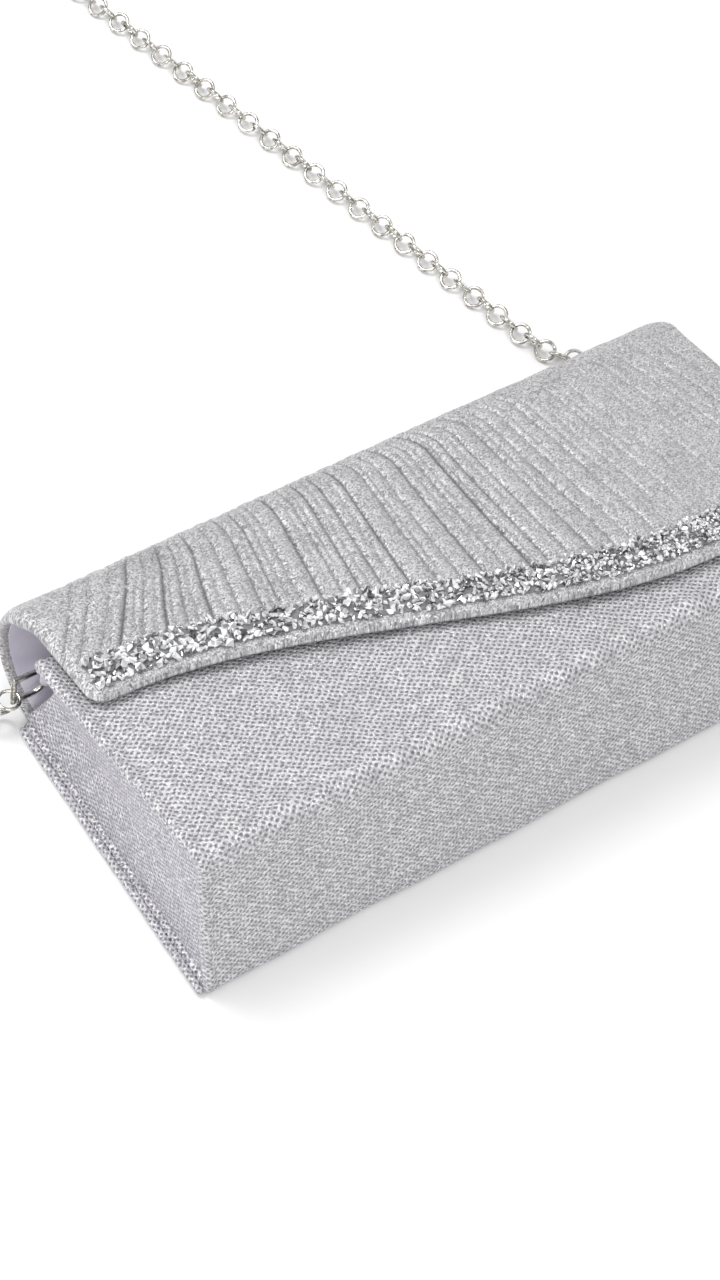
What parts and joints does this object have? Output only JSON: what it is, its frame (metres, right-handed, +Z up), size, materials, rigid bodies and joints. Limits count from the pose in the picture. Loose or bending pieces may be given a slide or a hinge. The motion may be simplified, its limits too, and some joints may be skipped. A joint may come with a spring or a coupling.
{
  "type": "clutch purse",
  "caption": "Envelope evening clutch with a rolled hinge, a wavy fold-over flap with a stone trim, a magnetic snap, side gussets and a chain strap on two rings.",
  "frame": {"origin": "middle of the base of the bag without its chain, on the surface that the back panel lies on", "axes": "+X along the width to the right-hand end, +Y from the bottom edge to the rolled hinge, +Z up from the back panel to the front"},
  "size_m": [0.288, 0.4556, 0.061],
  "materials": {
    "glitter_mesh": "silver glitter fabric with a knitted dot pattern",
    "glitter_pleats": "fine silver lurex fabric, pleated",
    "satin": "lavender-grey satin",
    "stiffener": "grey fibre board",
    "foam": "white foam wadding",
    "stones": "crushed clear, white and silver stones",
    "silver_metal": "polished plated steel",
    "magnet": "ferrite",
    "tie": "soft white cord"
  },
  "bodies": {
    "bag": {"back_cover": "glitter_mesh", "back_board": "stiffener", "back_lining": "satin", "bottom_cover": "glitter_mesh", "bottom_board": "stiffener", "bottom_lining": "satin", "gusset_left": "glitter_mesh", "gusset_right": "glitter_mesh", "gusset_lining_left": "satin", "gusset_lining_right": "satin", "binding_left": "glitter_mesh", "binding_right": "glitter_mesh", "hinge_cover": "glitter_pleats", "hinge_padding": "foam", "hinge_lining": "satin", "inner_pocket": "satin", "ring_tab_left": "satin", "ring_tab_right": "satin", "chain_run_right": "silver_metal", "chain_run_left": "silver_metal", "chain_coil": "silver_metal", "coil_tie": "tie"},
    "front_panel": {"front_cover": "glitter_mesh", "front_board": "stiffener", "front_lining": "satin", "snap_socket": "silver_metal", "snap_magnet": "magnet", "socket_washer": "silver_metal"},
    "flap": {"flap_cover": "glitter_pleats", "flap_padding": "foam", "flap_board": "stiffener", "flap_lining": "satin", "stone_trim": "stones", "snap_stud": "silver_metal", "stud_washer": "silver_metal"},
    "ring_left": {"d_ring_left": "silver_metal", "end_link_left": "silver_metal"},
    "ring_right": {"d_ring_right": "silver_metal", "end_link_right": "silver_metal"}
  },
  "joints": [
    {"name": "flap_hinge", "type": "hinge", "parent": "bag", "child": "flap", "pos_m": [0, 0.04, 0.022], "axis": [-1, 0, 0], "range_deg": [0, 140], "deforming": ["hinge_cover", "hinge_padding", "hinge_lining"]},
    {"name": "mouth_open", "type": "hinge", "parent": "bag", "child": "front_panel", "pos_m": [0, -0.048, 0.056], "axis": [1, 0, 0], "range_deg": [0, 14]},
    {"name": "ring_swing_left", "type": "hinge", "parent": "bag", "child": "ring_left", "pos_m": [-0.1135, 0.046, 0.0132], "axis": [0, 0, 1], "range_deg": [-20, 20]},
    {"name": "ring_swing_right", "type": "hinge", "parent": "bag", "child": "ring_right", "pos_m": [0.1135, 0.046, 0.0132], "axis": [0, 0, 1], "range_deg": [-20, 20]}
  ],
  "couplings": [
    {"joint": "mouth_open", "follows": "flap_hinge", "ratio": 0.1}
  ]
}
